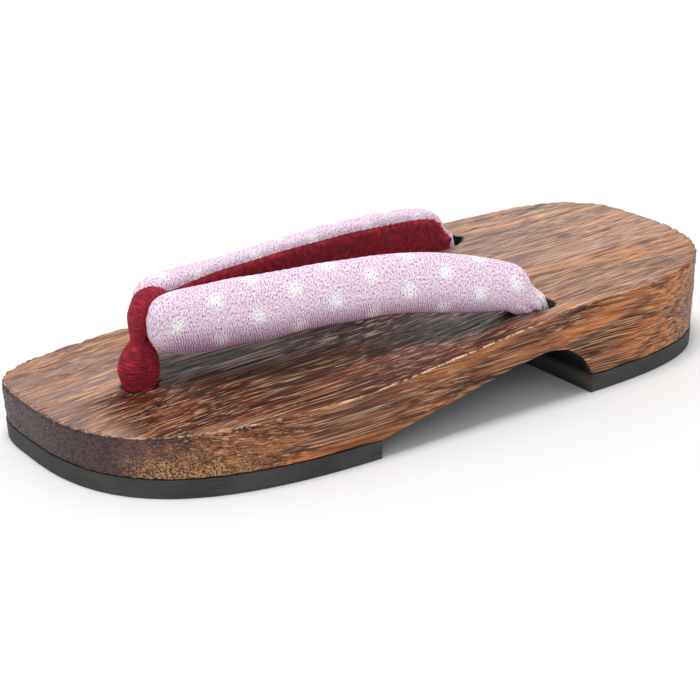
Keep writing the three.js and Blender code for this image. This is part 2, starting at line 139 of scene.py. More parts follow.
# Strap sections from the fold at the toe loop to the side hole
STRAP = table("at rise high thick lean", [
    (0, 0.9, 0.3, 0.3, 0),
    (0.012, 0.9, 0.6, 0.62, 0.1),
    (0.04, 0.91, 0.85, 0.88, 0.4),
    (0.09, 0.91, 0.97, 1, 0.75),
    (0.253, 0.96, 1, 1, 1),
    (0.425, 1, 0.97, 1, 1),
    (0.598, 0.93, 0.94, 1, 1),
    (0.751, 0.723, 0.926, 1, 1),
    (0.905, 0.415, 0.791, 0.94, 0.8),
    (0.949, 0.182, 0.581, 0.84, 0.5),
    (1, 0, 0.352, 0.62, 0),
])
LIFT_REACH = 0.7
SEAM_CLOSING = (0.98, 0.998)
TAIL_ROUNDING = 3

# Both seams round the section, in degrees, from the fold to the hole
SEAM = table("at upper lower", [
    (0, 150, 236), (0.06, 146, 252), (0.12, 136, 266), (0.22, 124, 274), (0.35, 122, 276),
    (0.6, 128, 276), (1, 128, 276),
])

# Toe loop from the hole over the fold and back down: height over the footbed,
# way back from the hole, width and thickness, as shares of the loop's sizes
LOOP = table("up back wide thick", [
    (-0.04, -0.13, 0.86, 0.84),
    (0.09, -0.17, 0.95, 0.94),
    (0.21, -0.19, 1, 1),
    (0.35, -0.14, 0.88, 0.8),
    (0.48, -0.02, 0.66, 0.44),
    (0.62, 0, 0.78, 0.46),
    (0.78, 0.02, 0.88, 0.48),
    (0.94, 0.18, 0.86, 0.48),
    (1, 0.5, 0.8, 0.45),
    (0.95, 0.82, 0.72, 0.45),
    (0.8, 0.98, 0.6, 0.45),
    (0.62, 0.93, 0.58, 0.44),
    (0.54, 0.58, 0.6, 0.42),
    (0.465, 0.2, 0.64, 0.42),
    (0.345, 0.2, 0.82, 0.76),
    (0.21, 0.22, 0.94, 0.92),
    (0.09, 0.18, 0.9, 0.88),
    (-0.04, 0.12, 0.84, 0.82),
])
LOOP["at"] = np.linspace(0, 1, len(LOOP["up"]))


def read(rows, column, at):
    """Smooth value of one column of a table at places between its rows."""
    x, y = rows["at"], rows[column]
    slope = np.empty_like(y)
    slope[1:-1] = (y[2:] - y[:-2]) / (x[2:] - x[:-2])
    slope[0] = (y[1] - y[0]) / (x[1] - x[0])
    slope[-1] = (y[-1] - y[-2]) / (x[-1] - x[-2])
    i = np.clip(np.searchsorted(x, at) - 1, 0, len(x) - 2)
    span = x[i + 1] - x[i]
    t = np.clip((at - x[i]) / span, 0, 1)
    return ((2 * t**3 - 3 * t**2 + 1) * y[i] + (t**3 - 2 * t**2 + t) * span * slope[i]
            + (3 * t**2 - 2 * t**3) * y[i + 1] + (t**3 - t**2) * span * slope[i + 1])


def footbed(y):
    return TOE_HEIGHT + read(FOOTBED, "rise", (y - TOE_Y) / LENGTH) * (HEEL_HEIGHT - TOE_HEIGHT)


POST_BASE = float(footbed(np.array(POST[1])))


def on_post(height):
    """A place on the toe hole's axis."""
    return np.array([*POST, height])


def unit(v):
    return v / np.linalg.norm(v, axis=-1, keepdims=True)


def way_along(points, axis=0):
    """Way covered along a row of points, from 0 at the first one."""
    steps = np.linalg.norm(np.diff(points, axis=axis), axis=-1)
    start = np.zeros_like(np.take(steps, [0], axis=axis))
    return np.concatenate([start, np.cumsum(steps, axis=axis)], axis=axis)


def smoothstep(low, high, value):
    """0 before low, 1 past high, smooth between. Low may be the larger one."""
    t = np.clip((value - low) / (high - low), 0, 1)
    return t * t * (3 - 2 * t)


def lattice_noise(points, seed, cells=64):
    """Smooth noise from -1 to 1 at points given in lattice cells."""
    values = np.random.default_rng(seed).uniform(-1, 1, (cells, cells, cells))
    cell = np.floor(points).astype(int)
    part = points - cell
    part = part * part * (3 - 2 * part)
    total = np.zeros(len(points))
    for corner in np.ndindex(2, 2, 2):
        i, j, k = ((cell + corner) % cells).T
        total += np.prod(np.where(corner, part, 1 - part), axis=1) * values[i, j, k]
    return total


# Shapes of the wood

def bezier(a, b, c, d, steps=400):
    """Points of a cubic curve between a and d."""
    t = np.linspace(0, 1, steps)[:, None]
    a, b, c, d = (np.array(p, float) for p in (a, b, c, d))
    return (1 - t)**3 * a + 3 * (1 - t)**2 * t * b + 3 * (1 - t) * t**2 * c + t**3 * d


def side_outline(side):
    """Points of one side's outline, from the toe tip to the heel tip."""
    toe_x = -TOE_TIP_INWARD
    heel_x = -HEEL_TIP_INWARD
    ball, waist, heel = (side[k] * WIDTH * side["sign"] for k in ("ball", "waist", "heel"))
    ball_y = TOE_Y + side["ball_at"] * LENGTH
    waist_y = TOE_Y + WAIST_AT * LENGTH
    heel_y = TOE_Y + HEEL_AT * LENGTH
    ease_front = (waist_y - ball_y) * SIDE_EASE
    ease_back = (heel_y - waist_y) * SIDE_EASE
    toe_pull, heel_pull = side["toe_pull"], side["heel_pull"]
    parts = [
        bezier((toe_x, TOE_Y), (toe_x + (ball - toe_x) * toe_pull, TOE_Y),
               (ball, ball_y + (TOE_Y - ball_y) * toe_pull), (ball, ball_y)),
        bezier((ball, ball_y), (ball, ball_y + ease_front), (waist, waist_y - ease_front),
               (waist, waist_y)),
        bezier((waist, waist_y), (waist, waist_y + ease_back), (heel, heel_y - ease_back),
               (heel, heel_y)),
        bezier((heel, heel_y), (heel, heel_y + (HEEL_Y - heel_y) * heel_pull),
               (heel_x + (heel - heel_x) * heel_pull, HEEL_Y), (heel_x, HEEL_Y)),
    ]
    return np.concatenate(parts)


OUTER_OUTLINE = side_outline(OUTER_SIDE)
INNER_OUTLINE = side_outline(INNER_SIDE)


def outline_x(outline, y):
    return np.interp(y, outline[:, 1], outline[:, 0])


VAULT_Z = ARCH_TOP - ARCH_RADIUS
VAULT_Y = HEEL_PAD_END - math.sqrt(ARCH_RADIUS**2 - (PAD_THICKNESS - VAULT_Z)**2)
ramp_run = VAULT_Y - FRONT_PAD_END
ramp_rise = VAULT_Z - PAD_THICKNESS
RAMP_SLOPE = math.atan2(ramp_rise, ramp_run) + math.asin(ARCH_RADIUS / math.hypot(ramp_run, ramp_rise))
ARC_START_Y = VAULT_Y - ARCH_RADIUS * math.sin(RAMP_SLOPE)


def underside(y):
    """Height of the wood's underside: flat over the pads, with the arch between them."""
    ramp = PAD_THICKNESS + (y - FRONT_PAD_END) * math.tan(RAMP_SLOPE)
    arc = VAULT_Z + np.sqrt(np.maximum(ARCH_RADIUS**2 - (y - VAULT_Y)**2, 0))
    arch = np.maximum(np.where(y < ARC_START_Y, ramp, arc), PAD_THICKNESS)
    return np.where((y > FRONT_PAD_END) & (y < HEEL_PAD_END), arch, PAD_THICKNESS)


CLOSEST_STATIONS = 0.2


def stations(step, low=TOE_Y, high=HEEL_Y, edges=()):
    """Places along the sandal that are close together where an outline turns fast."""
    turn = np.linspace(0, math.pi, 6000)
    y = TOE_Y + LENGTH * (1 - np.cos(turn)) / 2
    runs = [y / 2, outline_x(OUTER_OUTLINE, y), outline_x(INNER_OUTLINE, y), underside(y)]
    effort = np.concatenate([[0], np.cumsum(np.max(np.abs(np.diff(runs)), axis=0))])
    count = int(effort[-1] / step)
    places = np.interp(np.linspace(0, effort[-1], count + 1), effort, y)
    clear = [p for p in places if all(abs(p - e) > CLOSEST_STATIONS for e in edges)]
    places = np.array(clear + list(edges))
    inside = places[(places > low + CLOSEST_STATIONS) & (places < high - CLOSEST_STATIONS)]
    return np.sort(np.concatenate([[low], inside, [high]]))


def outline_normals(y):
    """Outward plan normals of both sides at each station, and their x."""
    result = []
    for outline, sign in ((OUTER_OUTLINE, 1), (INNER_OUTLINE, -1)):
        x = outline_x(outline, y)
        along = np.stack([np.gradient(x), np.gradient(y)], axis=1)
        out = unit(np.stack([along[:, 1], -along[:, 0]], axis=1)) * sign
        out[0] = (0, -1) if y[0] == TOE_Y else (sign, 0)
        out[-1] = (0, 1) if y[-1] == HEEL_Y else (sign, 0)
        result.append((x, out))
    return result


def drafted(plan, height):
    """Walls are drawn in a little downwards."""
    inset = WALL_DRAFT * (1 - height / footbed(plan[..., 1]))
    return plan * (1 - 2 * inset[..., None] / np.array([WIDTH, LENGTH]))


def edge_columns(top_round, foot_round, wall_columns, round_columns):
    """Inset and height share of each column of a wall, from its foot to its top edge."""
    turn = np.linspace(math.pi / 2, 0, round_columns + 1)
    foot = [(foot_round * (1 - math.cos(a)), 0, foot_round * (1 - math.sin(a))) for a in turn]
    wall = [(0, s, 0) for s in np.linspace(0, 1, wall_columns)[1:-1]]
    head = [(top_round * (1 - math.cos(a)), 1, -top_round * (1 - math.sin(a))) for a in turn[::-1]]
    return np.array(foot + wall + head)


def slab(y, low_z, high_z, top_round, foot_round, wall_columns, top_columns, foot_columns,
         round_columns=4):
    """Closed slab with the sandal's plan outline and rounded edges, as rings of points."""
    columns = edge_columns(top_round, foot_round, wall_columns, round_columns)
    sides = []
    for x, out in outline_normals(y):
        plan = np.stack([x, y], axis=1)
        points = []
        for inset, share, lift in columns:
            spot = plan - out * inset
            foot = low_z(spot[:, 1]) + foot_round
            head = high_z(spot[:, 1]) - top_round
            z = np.where(share > 0, foot + (head - foot) * share, foot - foot_round) + lift
            z = np.where(share >= 1, head + top_round + lift, z)
            moved = drafted(spot, z)
            if share >= 1:
                z = z + high_z(moved[:, 1]) - high_z(spot[:, 1])
            points.append(np.column_stack([moved, z]))
        sides.append(np.stack(points, axis=1))
    outer, inner = sides
    across = np.linspace(0, 1, top_columns + 2)[1:-1, None, None]
    top = outer[:, -1] * (1 - across) + inner[:, -1] * across
    top[..., 2] = high_z(top[..., 1])
    across = np.linspace(0, 1, foot_columns + 2)[1:-1, None, None]
    foot = inner[:, 0] * (1 - across) + outer[:, 0] * across
    foot[..., 2] = low_z(foot[..., 1])
    top, foot = top.transpose(1, 0, 2), foot.transpose(1, 0, 2)
    return np.concatenate([outer, top, inner[:, ::-1], foot], axis=1)


# Meshes

def tube_faces(rings, columns, caps):
    """Quads between the rings of a tube, and a face at each end."""
    faces = []
    for i in range(rings - 1):
        base = i * columns
        for j in range(columns):
            k = (j + 1) % columns
            faces.append((base + j, base + k, base + columns + k, base + columns + j))
    if caps:
        faces.append(tuple(range(columns))[::-1])
        faces.append(tuple(range((rings - 1) * columns, rings * columns)))
    return faces


def add_object(name, data):
    obj = bpy.data.objects.new(name, data)
    bpy.context.scene.collection.objects.link(obj)
    return obj


def mesh_object(name, points, faces, material, uv=None):
    """Smooth closed mesh from points in millimetres, its faces turned outwards."""
    mesh = bpy.data.meshes.new(name)
    mesh.from_pydata((np.asarray(points).reshape(-1, 3) * MM).tolist(), [], faces)
    if uv is not None:
        layer = mesh.uv_layers.new(name="cloth")
        corner_vertex = np.empty(len(mesh.loops), int)
        mesh.loops.foreach_get("vertex_index", corner_vertex)
        layer.data.foreach_set("uv", np.asarray(uv).reshape(-1, 2)[corner_vertex].ravel())
    work = bmesh.new()
    work.from_mesh(mesh)
    bmesh.ops.remove_doubles(work, verts=work.verts, dist=1e-6)
    bmesh.ops.dissolve_degenerate(work, edges=work.edges, dist=1e-7)
    bmesh.ops.recalc_face_normals(work, faces=work.faces)
    work.to_mesh(mesh)
    work.free()
    mesh.shade_smooth()
    mesh.materials.append(material)
    return add_object(name, mesh)


def dress(obj, node):
    """The piece rides on the sandal's one body, and stands for its CAD node."""
    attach(obj, "root")
    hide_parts(node)


def cylinder(start, end, width, reach, sides=64):
    """Two rings of points, each past its end by the reach."""
    axis = unit(end - start)
    helper = np.array([1.0, 0, 0]) if abs(axis[0]) < 0.9 else np.array([0, 1.0, 0])
    u = unit(np.cross(axis, helper))
    v = np.cross(axis, u)
    turn = np.linspace(0, 2 * math.pi, sides, endpoint=False)[:, None]
    ring = (np.cos(turn) * u + np.sin(turn) * v) * width / 2
    return np.stack([ring + start - axis * reach, ring + end + axis * reach])


def cut(obj, cutters):
    """Takes closed shapes away from a closed mesh."""
    for points in cutters:
        faces = tube_faces(*points.shape[:2], True)
        tool = mesh_object("cutter", points, faces, obj.data.materials[0])
        modifier = obj.modifiers.new("cut", "BOOLEAN")
        modifier.operation = "DIFFERENCE"
        modifier.solver = "MANIFOLD"
        modifier.object = tool
        graph = bpy.context.evaluated_depsgraph_get()
        result = bpy.data.meshes.new_from_object(obj.evaluated_get(graph))
        obj.modifiers.clear()
        old = obj.data
        obj.data = result
        bpy.data.meshes.remove(old)
        bpy.data.objects.remove(tool)
    obj.data.shade_smooth()


def vertex_values(mesh, key):
    flat = np.empty(len(mesh.vertices) * 3, np.float32)
    mesh.vertices.foreach_get(key, flat)
    return flat.reshape(-1, 3)


def coordinates(mesh):
    return vertex_values(mesh, "co").astype(float) / MM


def move_along_normals(obj, depth):
    """Moves each vertex out by a depth in millimetres."""
    moved = coordinates(obj.data) + vertex_values(obj.data, "normal") * depth[:, None]
    obj.data.vertices.foreach_set("co", (moved * MM).astype(np.float32).ravel())
    obj.data.update()


# Strap and loop shapes

def anchor(sign, outward, from_heel, **shape):
    """One arm of the strap: its side hole, its start at the fold, and its bend."""
    y = HEEL_Y - from_heel
    mouth = np.array([sign * outward, y, float(footbed(np.array(y)))])
    way_out = np.array([sign * (outward - SIDE_HOLE_LEAN), VAULT_Y, ARCH_TOP])
    start = POST + np.array([sign * STRAP_SPREAD, -shape["forward"]])
    chord = mouth[:2] - start
    return {"sign": sign, "mouth": mouth, "exit": way_out, "start": start, "chord": chord, **shape}


OUTER = anchor(1, 35, 86, forward=-1.0, bow=3, sag=0, lift=0)
INNER = anchor(-1, 28.5, 72.5, forward=-1.4, bow=-1, sag=3.3, lift=3.4)


def strap_frames(side, at):
    """Centre, axes, half sizes and closing of the strap's sections."""
    sign, mouth, way_out, chord = side["sign"], side["mouth"], side["exit"], side["chord"]
    outward = unit(np.array([chord[1], -chord[0]])) * sign
    on_strap = at[at <= 1]
    belly = 4 * on_strap * (1 - on_strap)
    lifted = side["lift"] * (1 + np.cos(math.pi * np.minimum(on_strap / LIFT_REACH, 1))) / 2
    plan = side["start"] + chord * on_strap[:, None] + outward * (side["bow"] * belly)[:, None]
    height = footbed(plan[:, 1]) + read(STRAP, "rise", on_strap) * STRAP_RISE - side["sag"] * belly + lifted
    centre = np.column_stack([plan, height])
    down = (at[at > 1] - 1)[:, None]
    knot = knot_centre(side)
    tail = np.where(down < 1, mouth + (way_out - mouth) * down, way_out + (knot - way_out) * (down - 1))
    centre = np.concatenate([centre, tail])
    clipped = np.minimum(at, 1)
    past = np.clip((at - 1) * TAIL_ROUNDING, 0, 1)
    high = read(STRAP, "high", clipped) * STRAP_HEIGHT / 2 * (1 - past) + TAIL_WIDTH / 2 * past
    thick = read(STRAP, "thick", clipped) * STRAP_THICKNESS / 2 * (1 - past) + TAIL_WIDTH / 2 * past
    lean = read(STRAP, "lean", clipped) * STRAP_LEAN
    closing = smoothstep(*SEAM_CLOSING, at)
    along = unit(np.gradient(centre, axis=0))
    out = np.broadcast_to(np.array([*outward, 0]), centre.shape)
    out = unit(out - along * np.sum(out * along, axis=1, keepdims=True))
    up = np.cross(out, along) * sign
    cos, sin = np.cos(lean)[:, None], np.sin(lean)[:, None]
    return {"centre": centre, "out": out * cos + up * sin, "up": up * cos - out * sin, "high": high,
            "thick": thick, "closing": closing, "travelled": way_along(centre)}


def round_point(angle):
    """Point of the full, rounded unit section at an angle."""
    cos, sin = np.cos(angle), np.sin(angle)
    power = 2 / FULLNESS
    return np.stack([np.sign(cos) * np.abs(cos)**power, np.sign(sin) * np.abs(sin)**power], axis=-1)


STRAP_RINGS = 230
END_CROWDING = 0.35
TAIL_RINGS = 14
COVER_COLUMNS = 84
LINING_COLUMNS = 52
SEAM_COLUMNS = 6
SEAM_DIP = 0.55
SEAM_WIDTH = 1.1
PUCKER = 0.22
PUCKER_PITCH = 2.9
PUCKER_WIDTH = 2.6
PADDING_LUMP = 0.22
LUMP_CELL = (9, 6)
PLEAT_DEPTH = 0.35
PLEATS = 9
PLEATS_FROM = 0.9
PLEATS_TO = 1.4


def strap_section(at, closing, is_lining, columns):
    """Unit sections of one half of the padded strap: its round side, then its seam wall."""
    clipped = np.minimum(at, 1)
    upper, lower = (np.radians(read(SEAM, edge, clipped))[:, None] for edge in ("upper", "lower"))
    start = lower if is_lining else lower - 2 * math.pi
    angle = start + (upper - start) * np.linspace(0, 1, columns)
    share = np.linspace(0, 1, SEAM_COLUMNS + 2)[1:-1, None]
    seam = round_point(upper) * (1 - share) + round_point(lower) * share
    closed = round_point(upper + (lower - upper) * share[:, 0])
    wall = seam * (1 - closing[..., None]) + closed * closing[..., None]
    return angle, np.concatenate([round_point(angle), wall], axis=1)


def strap_swell(at, side, along, around, angle, closing):
    """How far padding, seams and pleats raise or sink the cloth."""
    to_upper = around[:, -1:] - around
    to_seam = np.minimum(around, to_upper)
    dip = -SEAM_DIP * np.exp(-(to_seam / SEAM_WIDTH)**2)
    ripple = np.sin(2 * math.pi * along / PUCKER_PITCH + 1.3 * np.sin(along / 5.1)
                    + 0.9 * np.sin(along / 2.3))
    pucker = PUCKER * ripple * np.exp(-(to_upper / PUCKER_WIDTH)**2)
    spots = np.stack([np.broadcast_to(along / LUMP_CELL[0], around.shape), around / LUMP_CELL[1],
                      np.full(around.shape, 3.0 + side["sign"])], axis=-1).reshape(-1, 3)
    lumps = PADDING_LUMP * lattice_noise(spots, 5).reshape(around.shape)
    pleats = np.cos(angle * PLEATS + 2 * np.sin(along / 4)) * smoothstep(PLEATS_FROM, 1.0, at)[:, None]
    pleats = PLEAT_DEPTH * pleats * (at < PLEATS_TO)[:, None]
    return (dip + pucker + lumps) * (1 - closing) + pleats


def strap_shell(side, is_lining, at):
    """Rings of one half of the padded strap, with its cloth coordinates."""
    frames = strap_frames(side, at)
    columns = LINING_COLUMNS if is_lining else COVER_COLUMNS
    closing = frames["closing"][:, None]
    along = frames["travelled"][:, None]
    angle, section = strap_section(at, closing, is_lining, columns)
    flat = section * np.stack([frames["thick"], frames["high"]], axis=1)[:, None, :]
    around = way_along(flat[:, :columns], 1)
    swell = strap_swell(at, side, along, around, angle, closing)
    reach = np.linalg.norm(flat[:, :columns], axis=2)
    flat[:, :columns] *= (1 + swell / reach)[..., None]
    flat[:, columns:, 0] += (GAP / 2) * (-1 if is_lining else 1) * (1 - closing)
    points = (frames["centre"][:, None, :] + frames["out"][:, None, :] * flat[..., :1]
              + frames["up"][:, None, :] * flat[..., 1:])
    back = np.linspace(1, 0, SEAM_COLUMNS + 2)[1:-1] * around[:, -1:]
    v = np.concatenate([around, back], axis=1)
    uv = np.stack([np.broadcast_to(along, v.shape), v - around[:, -1:]], axis=-1) * MM
    return points, uv


def strap_piece(name, shells, material):
    """Joins closed tubes into one piece."""
    points, faces, cloth = [], [], []
    offset = 0
    for rings, uv in shells:
        count, columns = rings.shape[:2]
        faces += [tuple(i + offset for i in f) for f in tube_faces(count, columns, True)]
        points.append(rings.reshape(-1, 3))
        cloth.append(uv.reshape(-1, 2))
        offset += count * columns
    return mesh_object(name, np.concatenate(points), faces, material, np.concatenate(cloth))


def strap_places(first=0, last=1):
    """Places of the rings along an arm, closer together near its ends."""
    even = np.linspace(0, 1, STRAP_RINGS)
    crowded = (1 - np.cos(math.pi * even)) / 2
    return first + (last - first) * (END_CROWDING * crowded + (1 - END_CROWDING) * even)


def ellipsoid(centre, half, rings=28, columns=40):
    """Rings of an ellipsoid from pole to pole, with its cloth coordinates."""
    turn = np.linspace(0, math.pi, rings)[:, None]
    round_turn = np.linspace(0, 2 * math.pi, columns, endpoint=False)
    points = np.stack([np.sin(turn) * np.cos(round_turn), np.sin(turn) * np.sin(round_turn),
                       np.cos(turn) * np.ones(columns)], axis=-1)
    uv = np.stack([round_turn * half[0] * np.ones((rings, 1)), turn * half[2] * np.ones(columns)], axis=-1)
    return centre + points * half, uv * MM


LOOP_RINGS = 300
LOOP_COLUMNS = 60
WINDING_DEPTH = 0.07
WINDING_PITCH = 0.95
LOOP_LUMP = 0.16
CLOTH_RADIUS = 4


def loop_shell():
    """Rings of the velvet loop, from the toe hole over the fold and back."""
    at = np.linspace(0, 1, LOOP_RINGS)
    centre = np.column_stack([
        np.full(len(at), POST[0]),
        POST[1] + read(LOOP, "back", at) * LOOP_DEPTH,
        POST_BASE + read(LOOP, "up", at) * LOOP_RISE,
    ])
    across = np.array([1.0, 0, 0])
    deep = np.cross(unit(np.gradient(centre, axis=0)), across)[:, None, :]
    along = way_along(centre)[:, None] * np.ones(LOOP_COLUMNS)
    angle = np.linspace(0, 2 * math.pi, LOOP_COLUMNS, endpoint=False) * np.ones((LOOP_RINGS, 1))
    wide = (read(LOOP, "wide", at) * LOOP_WIDTH / 2)[:, None]
    thick = (read(LOOP, "thick", at) * LOOP_THICKNESS / 2)[:, None]
    spots = np.stack([along / 3.2, angle * 1.1, np.zeros(angle.shape)], axis=-1).reshape(-1, 3)
    swell = WINDING_DEPTH * np.sin(2 * math.pi * along / WINDING_PITCH)
    swell = swell + LOOP_LUMP * lattice_noise(spots, 11).reshape(angle.shape)
    section = round_point(angle)
    x = (section[..., 0] * (wide + swell))[..., None]
    y = (section[..., 1] * (thick + swell))[..., None]
    uv = np.stack([along, angle * CLOTH_RADIUS], axis=-1) * MM
    return centre[:, None, :] + x * across + y * deep, uv


def knot_centre(side):
    return np.array([side["exit"][0], side["exit"][1], ARCH_TOP - GAP - KNOT_HEIGHT / 2])


def trefoil(centre, width, height, cord, rings=150, columns=16):
    """A simple overhand knot, pulled tight. Its plain path is 6 wide and 2 high."""
    t = np.linspace(0, 2 * math.pi, rings, endpoint=False)
    path = np.column_stack([np.sin(t) + 2 * np.sin(2 * t), np.cos(t) - 2 * np.cos(2 * t), -np.sin(3 * t)])
    path *= np.array([(width - cord) / 6, (width - cord) / 6, (height - cord) / 2])
    along = unit(np.roll(path, -1, axis=0) - np.roll(path, 1, axis=0))
    side = unit(np.cross(along, np.array([0, 0, 1.0])))
    up = np.cross(side, along)
    turn = np.linspace(0, 2 * math.pi, columns, endpoint=False)[None, :, None]
    points = path[:, None] + (np.cos(turn) * side[:, None] + np.sin(turn) * up[:, None]) * cord / 2
    points = np.concatenate([points, points[:1]])
    s = np.linspace(0, 8 * width, rings + 1)[:, None] * np.ones(columns)
    around = np.linspace(0, math.pi * cord, columns)[None, :] * np.ones((rings + 1, 1))
    return points + centre, np.stack([s, around], axis=-1) * MM


# Materials

def put(tree, kind, settings=None, **inputs):
    """Adds a node. An input goes by its name, or by i and its number, and is a value or a socket."""
    node = tree.nodes.new(kind)
    for key, value in (settings or {}).items():
        setattr(node, key, value)
    for key, value in inputs.items():
        numbered = key[0] == "i" and key[1:].isdigit()
        socket = node.inputs[int(key[1:]) if numbered else key.replace("_", " ")]
        if isinstance(value, bpy.types.NodeSocket):
            tree.links.new(value, socket)
        else:
            socket.default_value = value
    return node


def math_node(tree, operation, a, b=0.0):
    return put(tree, "ShaderNodeMath", {"operation": operation}, i0=a, i1=b).outputs[0]


def plus(tree, a, b):
    return math_node(tree, "ADD", a, b)


def minus(tree, a, b):
    return math_node(tree, "SUBTRACT", a, b)


def times(tree, a, b):
    return math_node(tree, "MULTIPLY", a, b)


def vector_node(tree, operation, a, b):
    return put(tree, "ShaderNodeVectorMath", {"operation": operation}, i0=a, i1=b).outputs[0]


def ramp(tree, factor, stops):
    """Colour along a row of stops, each a place from 0 to 1 and its linear colour."""
    node = put(tree, "ShaderNodeValToRGB", i0=factor)
    while len(node.color_ramp.elements) < len(stops):
        node.color_ramp.elements.new(0.5)
    for element, (place, colour) in zip(node.color_ramp.elements, stops):
        element.position = place
        element.color = (*colour, 1)
    return node.outputs["Color"]


def window(tree, value, low, high):
    """0 below low, 1 above high, smooth between."""
    return put(tree, "ShaderNodeMapRange", {"interpolation_type": "SMOOTHSTEP"}, Value=value, From_Min=low,
               From_Max=high).outputs["Result"]


def noise(tree, place, scale, stretch=(1, 1, 1), detail=2.0, roughness=0.5):
    """Noise whose size is given as features per millimetre along each axis."""
    factor = [scale * s / MM for s in stretch]
    mapping = put(tree, "ShaderNodeMapping", Vector=place, Scale=factor)
    node = put(tree, "ShaderNodeTexNoise", Vector=mapping.outputs[0], Scale=1.0, Detail=detail,
               Roughness=roughness)
    return node.outputs["Fac"]


def mask(tree, name):
    """A shade from 0 to 1 that the mesh carries at its vertices."""
    return put(tree, "ShaderNodeAttribute", {"attribute_name": name}).outputs["Fac"]


def srgb(*levels):
    """A colour as seen on a screen, from 0 to 255, as linear light."""
    shares = [level / 255 for level in levels]
    return tuple(v / 12.92 if v <= 0.04 else ((v + 0.055) / 1.055)**2.4 for v in shares)


def solid_colour(*levels):
    return (*srgb(*levels), 1)


def blend(tree, factor, a, b, mode="MIX"):
    node = put(tree, "ShaderNodeMix", {"data_type": "RGBA", "blend_type": mode}, i0=factor, i6=a, i7=b)
    return node.outputs[2]


def paint(tree, tone, share, *levels):
    """Covers a share of a tone with a plain colour."""
    return blend(tree, share, tone, solid_colour(*levels))


def tint(tree, tone, *levels):
    """Multiplies a tone by a plain colour."""
    return blend(tree, 1.0, tone, solid_colour(*levels), "MULTIPLY")


def start_material(name, **shader_values):
    material = bpy.data.materials.new(name)
    material.use_nodes = True
    tree = material.node_tree
    tree.nodes.clear()
    shader = put(tree, "ShaderNodeBsdfPrincipled", **shader_values)
    put(tree, "ShaderNodeOutputMaterial", Surface=shader.outputs[0])
    return material, tree, shader


def surface(tree, shader, tone, height, depth):
    """Gives the shader its colour, and its relief with a depth in millimetres."""
    node = put(tree, "ShaderNodeBump", Height=height, Distance=depth * MM, Strength=1.0)
    tree.links.new(tone, shader.inputs["Base Color"])
    tree.links.new(node.outputs[0], shader.inputs["Normal"])


def object_place(tree):
    return put(tree, "ShaderNodeTexCoord").outputs["Object"]


def cloth_place(tree):
    return put(tree, "ShaderNodeUVMap", {"uv_map": "cloth"}).outputs[0]


# The growth rings run round a pith that lies beside and under the block. Its place
# at the waist and its lean along the sandal:
PITH = (-110.0, -40.0)
PITH_LEAN = (0.05, 0.03)
RING_SIZE = 90.0

# How far the grain wanders across and up, in metres, and how often
WANDER = (0.012, 0.0, 0.012)
WANDER_SCALE = 9.0


def grain_space(tree, place):
    """The place, moved aside a little so that the grain isn't dead straight."""
    drift = put(tree, "ShaderNodeTexNoise", Vector=place, Scale=WANDER_SCALE, Detail=1.0).outputs["Color"]
    aside = vector_node(tree, "SUBTRACT", drift, (0.5, 0.5, 0.5))
    return vector_node(tree, "ADD", place, vector_node(tree, "MULTIPLY", aside, WANDER))


def ring_space(tree, place):
    """Distance from the pith, way round it, and way along the sandal, in metres."""
    x, y, z = put(tree, "ShaderNodeSeparateXYZ", Vector=place).outputs
    across = [minus(tree, minus(tree, axis, pith * MM), times(tree, y, lean))
              for axis, pith, lean in zip((x, z), PITH, PITH_LEAN)]
    radius = math_node(tree, "SQRT", plus(tree, *(times(tree, a, a) for a in across)))
    turn = times(tree, math_node(tree, "ARCTAN2", across[1], across[0]), RING_SIZE * MM)
    return put(tree, "ShaderNodeCombineXYZ", i0=radius, i1=turn, i2=y).outputs[0]


def streaks(tree, grain, scale, along):
    """Thin noise drawn out along the grain, on the top face and on the walls."""
    flat = noise(tree, grain, scale, (1, 1.6 * along, 0.8))
    upright = noise(tree, grain, scale, (0.7, 1.3 * along, 1.4))
    node = put(tree, "ShaderNodeMix", {"data_type": "FLOAT"}, i0=mask(tree, "top"), i2=upright, i3=flat)
    return node.outputs[0]


def bare_wood(tree, rings, grain, streak):
    """Brown by ring, streak and brushed ridge, with dusky fields, dark lines and pale lines."""
    broad = noise(tree, rings, 0.12, (1, 0.3, 0.08))
    ring = noise(tree, rings, 0.62, (1, 0.08, 0.03), roughness=0.6)
    shares = ((broad, 0.22), (ring, 0.28), (streak, 0.2), (mask(tree, "ridge"), 0.3))
    parts = [times(tree, level, share) for level, share in shares]
    mixed = plus(tree, plus(tree, *parts[:2]), plus(tree, *parts[2:]))
    tone = ramp(tree, mixed, [
        (0.37, srgb(70, 40, 30)), (0.44, srgb(118, 74, 50)), (0.50, srgb(162, 108, 70)),
        (0.56, srgb(194, 134, 82)), (0.63, srgb(228, 172, 108)),
    ])
    dusk = window(tree, noise(tree, rings, 0.2, (1, 0.2, 0.06)), 0.5, 0.62)
    tone = paint(tree, tone, times(tree, dusk, 0.5), 112, 79, 77)
    line = window(tree, streaks(tree, grain, 1.5, 0.012), 0.53, 0.6)
    tone = paint(tree, tone, times(tree, line, 0.65), 66, 38, 28)
    pale = window(tree, streaks(tree, grain, 1.7, 0.013), 0.55, 0.62)
    return paint(tree, tone, times(tree, pale, 0.55), 240, 192, 130)


